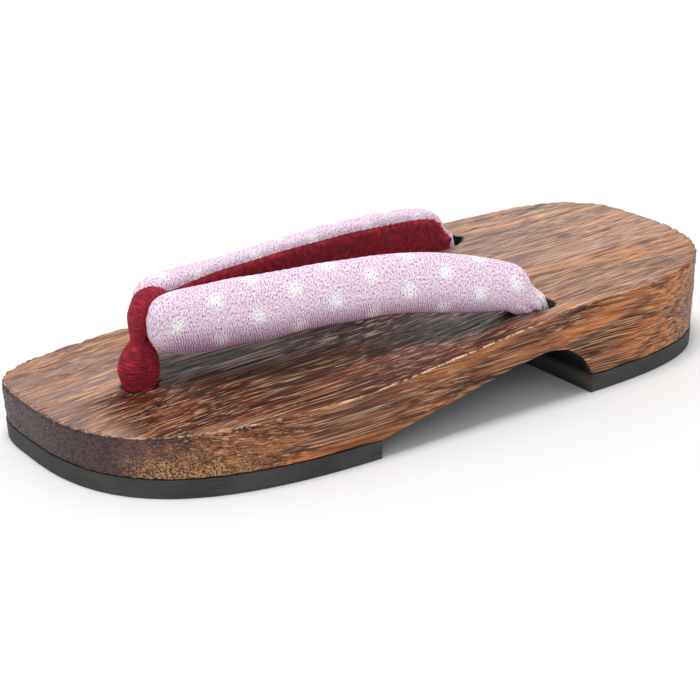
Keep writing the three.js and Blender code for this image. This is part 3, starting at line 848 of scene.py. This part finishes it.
def shaded_wood(tree, tone):
    """Walls darkened against the top face by painted shade and toned mauve to golden, and a top face with a
    painted sheen and with mauve and honey bands.
    """
    # The walls get a darker multiplier than the top face: painted shade, besides their mauve to golden tone
    painted_wall_shade = blend(tree, mask(tree, "gold"), solid_colour(200, 168, 162), solid_colour(244, 202, 166))
    walls = blend(tree, 1.0, tone, painted_wall_shade, "MULTIPLY")
    face = tint(tree, tone, 230, 216, 222)
    # A purple-grey sheen painted on the top face, strongest near the toe
    face = paint(tree, face, times(tree, mask(tree, "painted_sheen"), 0.6), 160, 134, 130)
    face = paint(tree, face, times(tree, mask(tree, "mauve"), 0.45), 130, 96, 90)
    face = blend(tree, mask(tree, "honey"), face, tint(tree, face, 255, 226, 172))
    return blend(tree, mask(tree, "top"), walls, face)


def scorched_wood(tree, grain, fibre, tone):
    """A warm field beside the char, painted glints, and the char with its pale scratches, which also paints
    the strap's shadow.
    """
    deep = window(tree, streaks(tree, grain, 1.3, 0.014), 0.49, 0.58)
    warm = paint(tree, tint(tree, tone, 162, 114, 88), times(tree, deep, 0.6), 44, 22, 16)
    tone = blend(tree, mask(tree, "warm"), tone, warm)
    # Thin bright lines painted on the grain as highlights
    painted_glint = window(tree, streaks(tree, grain, 1.9, 0.012), 0.57, 0.63)
    tone = paint(tree, tone, times(tree, painted_glint, 0.45), 246, 200, 152)
    # Near black char, which also serves as the painted shadow of the strap on the footbed
    burnt_and_shadowed = blend(tree, window(tree, fibre, 0.42, 0.6), solid_colour(8, 6, 7), solid_colour(56, 40, 40))
    scratch = window(tree, streaks(tree, grain, 1.6, 0.01), 0.56, 0.61)
    burnt_and_shadowed = paint(tree, burnt_and_shadowed, times(tree, scratch, 0.7), 170, 144, 138)
    return blend(tree, mask(tree, "char_and_strap_shadow"), tone, burnt_and_shadowed)


def toe_end_wood(tree, place, fibre, tone):
    """The dark front wall, with speckled end grain at its outer corner."""
    front = blend(tree, window(tree, fibre, 0.35, 0.65), solid_colour(50, 35, 38), solid_colour(80, 60, 63))
    tone = blend(tree, mask(tree, "front"), tone, front)
    pores = window(tree, noise(tree, place, 1.5, detail=1), 0.44, 0.6)
    end_grain = blend(tree, pores, solid_colour(78, 52, 42), solid_colour(206, 154, 94))
    return blend(tree, mask(tree, "speckle"), tone, end_grain)


def worn_wood(tree, place, tone):
    """Dark nicks, and pale chips with a painted highlight along the rim, and soot with painted shade
    underneath.
    """
    nicks = window(tree, noise(tree, place, 1.1, (1, 0.3, 0.3), detail=1), 0.5, 0.56)
    tone = paint(tree, tone, times(tree, mask(tree, "nick"), nicks), 50, 33, 30)
    # Pale chips along the rim: bare wood with a highlight painted on the edge
    chips_and_highlight = window(tree, noise(tree, place, 0.45, detail=3, roughness=0.7), 0.42, 0.52)
    tone = paint(tree, tone, times(tree, mask(tree, "wear_and_highlight"), chips_and_highlight), 238, 202, 172)
    # Near black soot together with painted shade on the underside, in the arch and in the holes
    return paint(tree, tone, mask(tree, "soot_and_shade"), 14, 13, 13)


def wood_material():
    material, tree, shader = start_material("scorched_brushed_wood", Coat_Weight=0.05, Coat_Roughness=0.4,
                                            Specular_IOR_Level=0.28)
    place = object_place(tree)
    grain = grain_space(tree, place)
    streak = noise(tree, grain, 0.55, (1, 0.045, 1), roughness=0.6)
    fibre = streaks(tree, grain, 1.15, 0.04)
    tone = shaded_wood(tree, bare_wood(tree, ring_space(tree, grain), grain, streak))
    tone = scorched_wood(tree, grain, fibre, tone)
    tone = worn_wood(tree, place, toe_end_wood(tree, place, fibre, tone))
    surface(tree, shader, tone, plus(tree, times(tree, streak, 0.5), times(tree, fibre, 0.5)), 0.9)
    rough = put(tree, "ShaderNodeMapRange", Value=fibre, From_Min=0.35, From_Max=0.65, To_Min=0.6,
                To_Max=0.34)
    tree.links.new(rough.outputs[0], shader.inputs["Roughness"])
    return material


def rubber_material():
    material, tree, shader = start_material("black_rubber", Roughness=0.72)
    place = object_place(tree)
    cloud = noise(tree, place, 0.08, detail=3)
    tone = ramp(tree, cloud, [(0.35, srgb(44, 43, 42)), (0.65, srgb(60, 59, 57))])
    scratch = window(tree, noise(tree, place, 0.5, (0.15, 0.15, 4), detail=3), 0.6, 0.75)
    tone = paint(tree, tone, times(tree, scratch, 0.35), 104, 104, 98)
    surface(tree, shader, tone, noise(tree, place, 3.0), 0.12)
    return material


# Spots of the strap's print, from the fold and from the upper seam
DOT_PITCH = 23.8
DOT_ROW = 11.8
DOT_START = 8.6
DOT_TOP = -6.0
DOT_CORE = 0.7
DOT_SIZE = 3.6
PITCHES_BACK = 50


def wrapped(tree, value, start, pitch):
    """Way in millimetres to the nearest of a row of places that are a pitch apart."""
    turns = plus(tree, math_node(tree, "DIVIDE", value, pitch * MM), PITCHES_BACK + 0.5 - start / pitch)
    return times(tree, minus(tree, math_node(tree, "FRACT", turns), 0.5), pitch)


def dots(tree, length, around):
    """Soft round spots on a diagonal lattice."""
    spots = []
    for half in (0, 0.5):
        x = wrapped(tree, length, DOT_START + half * DOT_PITCH, DOT_PITCH)
        y = wrapped(tree, around, DOT_TOP + half * DOT_ROW, DOT_ROW)
        far = math_node(tree, "SQRT", plus(tree, times(tree, x, x), times(tree, y, y)))
        spots.append(minus(tree, 1.0, window(tree, far, DOT_CORE, DOT_SIZE)))
    return math_node(tree, "MAXIMUM", *spots)


# Ribs of the crepe, and the belt under the upper seam where a painted shade sets in
RIB_PITCH = 0.72
RIB_SLANT = 0.12
RIB_WAVER = 14.0
SHADE_FULL = -28
SHADE_START = -16


def crepe_material():
    material, tree, shader = start_material("lilac_crepe", Roughness=0.85, Sheen_Weight=0.15,
                                            Sheen_Roughness=0.5)
    cloth = cloth_place(tree)
    length, around = put(tree, "ShaderNodeSeparateXYZ", Vector=cloth).outputs[:2]
    speck = noise(tree, cloth, 1.0, (2.2, 1.4, 1))
    waver = noise(tree, cloth, 1.0, (0.35, 0.5, 1))
    slanted = plus(tree, length, times(tree, around, RIB_SLANT))
    phase = math_node(tree, "DIVIDE", slanted, RIB_PITCH * MM / (2 * math.pi))
    phase = plus(tree, phase, times(tree, waver, RIB_WAVER))
    rib = plus(tree, times(tree, math_node(tree, "SINE", phase), 0.5), 0.5)
    # Painted shade on the lower part of the strap: a darker tint, stronger ribs and fainter spots
    low = minus(tree, 1.0, window(tree, around, SHADE_FULL * MM, SHADE_START * MM))
    share = plus(tree, 0.06, times(tree, low, 0.4))
    weave = plus(tree, times(tree, rib, share), times(tree, speck, minus(tree, 1.0, share)))
    tone = ramp(tree, weave, [
        (0.34, srgb(164, 122, 158)), (0.44, srgb(220, 186, 214)), (0.53, srgb(244, 220, 240)),
        (0.64, srgb(254, 244, 253)),
    ])
    tone = blend(tree, low, tone, tint(tree, tone, 196, 163, 186))
    spots = times(tree, dots(tree, length, around), minus(tree, 1.0, times(tree, low, 0.5)))
    grainy = times(tree, spots, window(tree, weave, 0.34, 0.48))
    tone = paint(tree, tone, grainy, 253, 252, 252)
    surface(tree, shader, tone, weave, 0.35)
    return material


def velvet_material(name, nap_stretch):
    material, tree, shader = start_material(name, Roughness=0.9, Sheen_Weight=0.7, Sheen_Roughness=0.35,
                                            Sheen_Tint=solid_colour(255, 80, 120))
    cloth = cloth_place(tree)
    nap = noise(tree, cloth, 1.0, nap_stretch, detail=3)
    pile = noise(tree, cloth, 1.0, (4, 4, 1))
    tone = ramp(tree, nap, [(0.3, srgb(92, 6, 22)), (0.55, srgb(146, 14, 40)), (0.75, srgb(186, 34, 64))])
    surface(tree, shader, tone, plus(tree, nap, times(tree, pile, 0.5)), 0.25)
    return material


WOOD = wood_material()
RUBBER = rubber_material()
CREPE = crepe_material()
VELVET = velvet_material("red_velvet", (0.5, 0.5, 1))
RIBBED_VELVET = velvet_material("ribbed_red_velvet", (1.3, 0.3, 1))


# Wooden body

HOLE_REACH = 6
HOLE_SKIN = 0.2


def hole_cutters():
    """The two side holes, the toe hole and the knot pocket."""
    pocket_roof = on_post(PAD_THICKNESS + KNOT_POCKET_DEPTH)
    cutters = [cylinder(a["mouth"], a["exit"], SIDE_HOLE_BORE, HOLE_REACH) for a in (OUTER, INNER)]
    cutters.append(cylinder(on_post(POST_BASE), on_post(PAD_THICKNESS), TOE_HOLE_BORE, HOLE_REACH))
    cutters.append(cylinder(pocket_roof, on_post(-HOLE_REACH), KNOT_POCKET_BORE, 0))
    return cutters


GROOVE_DEPTH = 0.5
GRAIN_DRIFT = 3
GRAIN_DRIFT_CELL = 70
WOOD_STEP = 1.05
PAD_STEP = 1.6
EDGE_WIDTH = 1.5
TOOTH = 0.85
LATTICE_MIDDLE = 300


def groove_level(points):
    """Brushed grain from 0 on a ridge to 1 in a groove."""
    x, y, z = points.T
    drift = lattice_noise(points / GRAIN_DRIFT_CELL, 21) * GRAIN_DRIFT
    x, z = x + drift, z + drift
    wandering = np.column_stack([x, y, z])
    aside = x - PITH[0] - PITH_LEAN[0] * y
    above = z - PITH[1] - PITH_LEAN[1] * y
    rings = np.column_stack([np.hypot(aside, above), np.arctan2(above, aside) * RING_SIZE, y])
    ring = lattice_noise(rings * (0.9, 0.06, 0.02) + LATTICE_MIDDLE, 22)
    fine = lattice_noise(wandering * (0.75, 0.03, 0.75) + LATTICE_MIDDLE, 23)
    dashes = lattice_noise(wandering * (1.3, 0.08, 1.3) + LATTICE_MIDDLE, 24)
    return np.clip(0.5 + 0.42 * ring + 0.38 * fine + 0.2 * dashes, 0, 1)


def set_mask(mesh, name, values):
    attribute = mesh.attributes.new(name, "FLOAT", "POINT")
    attribute.data.foreach_set("value", np.clip(values, 0, 1).astype(np.float32))


def edge_distance(points):
    """Distance in plan from the sandal's outline."""
    outline = np.concatenate([OUTER_OUTLINE[::6], INNER_OUTLINE[::6]])
    nearest = [np.min(np.hypot(*(part[:, None, :2] - outline).transpose(2, 0, 1)), axis=1)
               for part in np.array_split(points, 60)]
    return np.concatenate(nearest)


def in_hole(points):
    """True on the walls of the holes."""
    post = np.hypot(points[:, 0] - POST[0], points[:, 1] - POST[1])
    inside = post < TOE_HOLE_BORE / 2 + HOLE_SKIN
    for side in (OUTER, INNER):
        axis = unit(side["mouth"] - side["exit"])
        away = points - side["exit"]
        away = away - np.sum(away * axis, axis=1, keepdims=True) * axis
        inside |= np.linalg.norm(away, axis=1) < SIDE_HOLE_BORE / 2 + HOLE_SKIN
    return inside


def between(value, rise, fall):
    """1 between two soft edges."""
    return smoothstep(*rise, value) * (1 - smoothstep(*fall, value))


# Soft edges of the wood's finish and of the shadow, sheen and shade painted on it, each
# from where it starts to where it ends. Along the sandal, from its middle:
TOE_END = (-70, -100)
CHAR_AND_SHADOW_ALONG = ((-90, -74), (24, 38))
WARM_ALONG = ((-112, -100), (10, 34))
FOOT_ALONG = ((-80, -60), (-10, 5))
PAINTED_SHEEN_END = (-100, -55)
TOOTH_FADE = (-95, -60)
NICK_END = (-80, -50)
WEAR_AND_HIGHLIGHT_END = (10, 40)
SPECKLE_END = -60
MAUVE_START = (20, 45)
HONEY_START = (22, 45)
GOLD_START = (30, 80)

# Across, from the strap's outer arm, from the border of the char and painted strap shadow, or from the
# middle
CHAR_AND_SHADOW_INNER = (-34, -22)
CHAR_AND_SHADOW_OUTER = (-4, 3)
WARM_ACROSS = ((-5, 1), (34, 44))
HONEY_INNER = (10, 16)
SPECKLE_INNER = (0, 20)

# Up, from the floor
FOOT_HEIGHT = (10, 7)
SPECKLE_HEIGHT = (17, 9)


def strap_masks(x, y, cloud, patch):
    """Char together with the strap's painted shadow beside the outer arm, the warm field outside it, and a
    painted sheen on the rest.
    """
    way = np.clip((y - OUTER["start"][1]) / OUTER["chord"][1], 0, 1)
    beyond = x - OUTER["start"][0] - OUTER["chord"][0] * way - 4 * way * (1 - way) * OUTER["bow"]
    past = beyond + 3 - 11 * smoothstep(-22, 4, y)
    # Char and the strap's painted shadow, under and inside the outer arm
    char_and_strap_shadow = smoothstep(*CHAR_AND_SHADOW_INNER, beyond + 4 * cloud) * (1 - smoothstep(*CHAR_AND_SHADOW_OUTER, past + 3 * cloud))
    warm = between(past, *WARM_ACROSS) * between(y, *WARM_ALONG)
    # Painted sheen on the top outside the warm field, strongest towards the toe
    painted_sheen = (0.75 + 0.5 * patch) * (1 - warm) * (0.25 + 0.75 * (1 - smoothstep(*PAINTED_SHEEN_END, y)))
    return 0.95 * char_and_strap_shadow * between(y, *CHAR_AND_SHADOW_ALONG), warm, painted_sheen


def band_masks(x, y, cloud, patch):
    """Mauve and honey bands along the top of the heel."""
    mauve = np.exp(-((x - 5 + 3 * cloud) / 5.5)**2) + 0.7 * np.exp(-((x + 20 + 4 * cloud) / 5)**2)
    honey = smoothstep(*HONEY_INNER, x + 3 * cloud) * smoothstep(*HONEY_START, y)
    return mauve * smoothstep(*MAUVE_START, y + 8 * patch), honey * (0.8 + 0.4 * patch)


def wood_masks(mesh, points, from_outline):
    """Shades that say where the wood is charred, golden, worn or sooted, and where a strap shadow, sheen,
    highlight and shade are painted on it.
    """
    x, y, z = points.T
    facing = vertex_values(mesh, "normal")
    on_top = smoothstep(0.4, 0.8, facing[:, 2])
    cloud = lattice_noise(points / (14, 40, 14) + 30, 31)
    patch = lattice_noise(points / (5, 26, 5) + 30, 33)
    char_and_strap_shadow, warm, painted_sheen = strap_masks(x, y, cloud, patch)
    mauve, honey = band_masks(x, y, cloud, patch)
    foot = smoothstep(*FOOT_HEIGHT, z + patch) * between(y, *FOOT_ALONG)
    toe_front = smoothstep(0.3, 0.9, -facing[:, 1]) * smoothstep(*TOE_END, y)
    corner = between(-facing[:, 1], (0.12, 0.4), (0.62, 0.9)) * smoothstep(*SPECKLE_INNER, x)
    corner = corner * (1 - on_top) * smoothstep(*SPECKLE_HEIGHT, z + 4 * patch) * (y < SPECKLE_END)
    from_top = footbed(y) - z
    rim = np.exp(-((from_outline - 0.3) / 0.3)**2) * (from_top < 0.7)
    toe_edge = np.exp(-(from_outline / EDGE_WIDTH)**2) * (from_top < EDGE_WIDTH)
    in_arch = (y > FRONT_PAD_END) & (y < HEEL_PAD_END + 0.5) & (from_top > 3)
    in_arch &= from_outline > 0.7 + 2 * WALL_DRAFT
    shades = {
        "top": on_top, "char_and_strap_shadow": on_top * char_and_strap_shadow, "warm": on_top * warm, "painted_sheen": on_top * painted_sheen,
        "mauve": on_top * mauve, "honey": on_top * honey,
        "gold": np.maximum(smoothstep(*GOLD_START, y + 20 * cloud), 1.2 * foot),
        "front": 0.95 * toe_front, "speckle": 0.7 * corner,
        # Worn rim together with its painted highlight
        "wear_and_highlight": rim * (1 - toe_front) * (1 - smoothstep(*WEAR_AND_HIGHLIGHT_END, y)),
        "nick": 0.9 * toe_edge * (1 - smoothstep(*NICK_END, y)),
        # Soot and painted shade on faces turned down, in the arch and in the holes
        "soot_and_shade": np.maximum(smoothstep(0.3, 0.7, -facing[:, 2]), in_arch | in_hole(points)),
    }
    for name, values in shades.items():
        set_mask(mesh, name, values)


def build_wood():
    y = stations(WOOD_STEP, edges=(FRONT_PAD_END, ARC_START_Y, HEEL_PAD_END))
    rings = slab(y, underside, footbed, top_round=0.9, foot_round=0.5, wall_columns=34, top_columns=215,
                 foot_columns=30)
    obj = mesh_object("geta_wood", rings, tube_faces(*rings.shape[:2], False), WOOD)
    cut(obj, hole_cutters())
    points = coordinates(obj.data)
    from_outline = edge_distance(points)
    wood_masks(obj.data, points, from_outline)
    groove = groove_level(points)
    set_mask(obj.data, "ridge", 1 - groove)
    edge = np.exp(-(from_outline / EDGE_WIDTH)**2) * (points[:, 2] > footbed(points[:, 1]) - EDGE_WIDTH)
    teeth = lattice_noise(points * (0.9, 0.9, 0.15) + LATTICE_MIDDLE, 41)
    tooth = TOOTH * (1 - 0.5 * smoothstep(*TOOTH_FADE, points[:, 1]))
    move_along_normals(obj, -GROOVE_DEPTH * groove - tooth * edge * np.clip(0.3 + teeth, 0, 1))
    dress(obj, "wood_body")


def pad_top(y):
    return np.full_like(y, PAD_THICKNESS)


def build_pad(name, node, low, high, cutters):
    y = stations(PAD_STEP, low, high)
    rings = slab(y, np.zeros_like, pad_top, top_round=0.35, foot_round=0.5, wall_columns=8, top_columns=40,
                 foot_columns=40, round_columns=3)
    obj = mesh_object(name, rings, tube_faces(*rings.shape[:2], True), RUBBER)
    cut(obj, cutters)
    dress(obj, node)


build_wood()
build_pad("front_pad_rubber", "front_rubber_pad", TOE_Y, FRONT_PAD_END, hole_cutters()[-1:])
build_pad("heel_pad_rubber", "heel_rubber_pad", HEEL_PAD_END, HEEL_Y, [])


# Straps, lining and loop

def build_cover():
    """Both arms with their tails, the fold between them, and the knots under the arch."""
    at = np.concatenate([strap_places(), np.linspace(1, 3, TAIL_RINGS)[1:]])
    centre = np.array([POST[0], POST[1] + FOLD_BACK * LOOP_DEPTH, POST_BASE + FOLD_UP * LOOP_RISE])
    fold = ellipsoid(centre, np.array([STRAP_SPREAD + FOLD_REACH, FOLD_DEPTH / 2, FOLD_HEIGHT / 2]))
    shells = [strap_shell(OUTER, False, at), strap_shell(INNER, False, at), fold]
    shells += [trefoil(knot_centre(side), KNOT_WIDTH, KNOT_HEIGHT, KNOT_CORD) for side in (OUTER, INNER)]
    obj = strap_piece("strap_cover", shells, CREPE)
    dress(obj, "strap_upper")


def build_lining(name, side, node):
    chord = np.linalg.norm(side["chord"])
    at = strap_places(LINING_FROM_FOLD / chord, 1 - LINING_FROM_HOLE / chord)
    obj = strap_piece(name, [strap_shell(side, True, at)], VELVET)
    dress(obj, node)


def build_loop():
    """The loop, its tail in the toe hole and its knot in the pocket."""
    tail = cylinder(on_post(POST_BASE - GAP), on_post(LOOP_TAIL_END), LOOP_TAIL_WIDTH, 0)
    centre = on_post(PAD_THICKNESS + KNOT_POCKET_DEPTH - GAP - LOOP_CORD)
    knot = trefoil(centre, LOOP_KNOT_WIDTH, LOOP_KNOT_HEIGHT, LOOP_CORD)
    shells = [loop_shell(), (tail, np.zeros((*tail.shape[:2], 2))), knot]
    obj = strap_piece("toe_loop_velvet", shells, RIBBED_VELVET)
    dress(obj, "toe_loop")


build_cover()
build_lining("outer_lining_velvet", OUTER, "strap_lining_outer")
build_lining("inner_lining_velvet", INNER, "strap_lining_inner")
build_loop()


# Stage, light and camera

CAMERA_AZIMUTH = math.radians(53.03)
CAMERA_ELEVATION = math.radians(20.97)
CAMERA_ROLL = math.radians(0.10)
CAMERA_DISTANCE = 0.61345
CAMERA_TARGET = Vector((0, 0, 0.020))
PHOTO_SIZE = 700
FOCAL_PIXELS = 1903
PRINCIPAL = (385.28, 326.81)
SENSOR = 36.0
FLOOR_SIZE = 8
WORLD_STRENGTH = 0.62


def build_camera():
    data = bpy.data.cameras.new("camera")
    camera = add_object("camera", data)
    back = Vector((math.sin(CAMERA_AZIMUTH) * math.cos(CAMERA_ELEVATION),
                   -math.cos(CAMERA_AZIMUTH) * math.cos(CAMERA_ELEVATION), math.sin(CAMERA_ELEVATION)))
    turn = (-back).to_track_quat("-Z", "Y").to_matrix() @ Matrix.Rotation(CAMERA_ROLL, 3, "Z")
    camera.matrix_world = Matrix.Translation(CAMERA_TARGET + back * CAMERA_DISTANCE) @ turn.to_4x4()
    data.sensor_width = SENSOR
    data.lens = FOCAL_PIXELS * SENSOR / PHOTO_SIZE
    data.shift_x = (PHOTO_SIZE / 2 - PRINCIPAL[0]) / PHOTO_SIZE
    data.shift_y = (PRINCIPAL[1] - PHOTO_SIZE / 2) / PHOTO_SIZE
    data.clip_start = 0.01
    data.clip_end = 50
    bpy.context.scene.camera = camera


def build_light(name, place, target, size, power):
    data = bpy.data.lights.new(name, "AREA")
    data.shape = "DISK"
    data.size = size
    data.energy = power
    light = add_object(name, data)
    light.location = place
    light.rotation_euler = (Vector(target) - Vector(place)).to_track_quat("-Z", "Y").to_euler()


def build_stage():
    material, tree, shader = start_material("pale_floor", Roughness=0.9)
    place = object_place(tree)
    cloud = noise(tree, place, 0.002, detail=1)
    tone = ramp(tree, cloud, [(0.3, (0.86, 0.86, 0.86)), (0.7, (0.9, 0.9, 0.9))])
    tree.links.new(tone, shader.inputs["Base Color"])
    bpy.ops.mesh.primitive_plane_add(size=FLOOR_SIZE)
    floor = bpy.context.active_object
    floor.name = "floor"
    floor.data.materials.append(material)
    world = bpy.data.worlds.new("studio")
    world.use_nodes = True
    background = world.node_tree.nodes["Background"]
    background.inputs["Color"].default_value = (1, 1, 1, 1)
    background.inputs["Strength"].default_value = WORLD_STRENGTH
    bpy.context.scene.world = world
    bpy.context.scene.view_settings.view_transform = "Standard"


build_camera()
build_stage()
build_light("key", (0.1, -0.3, 2.0), (0, 0, 0), 0.7, 22)
build_light("rim", (-0.7, 0.7, 0.5), (0, 0, 0.02), 0.5, 1.5)
build_light("fill", (0.9, -1.0, 0.7), (0, 0, 0.02), 0.6, 2.0)
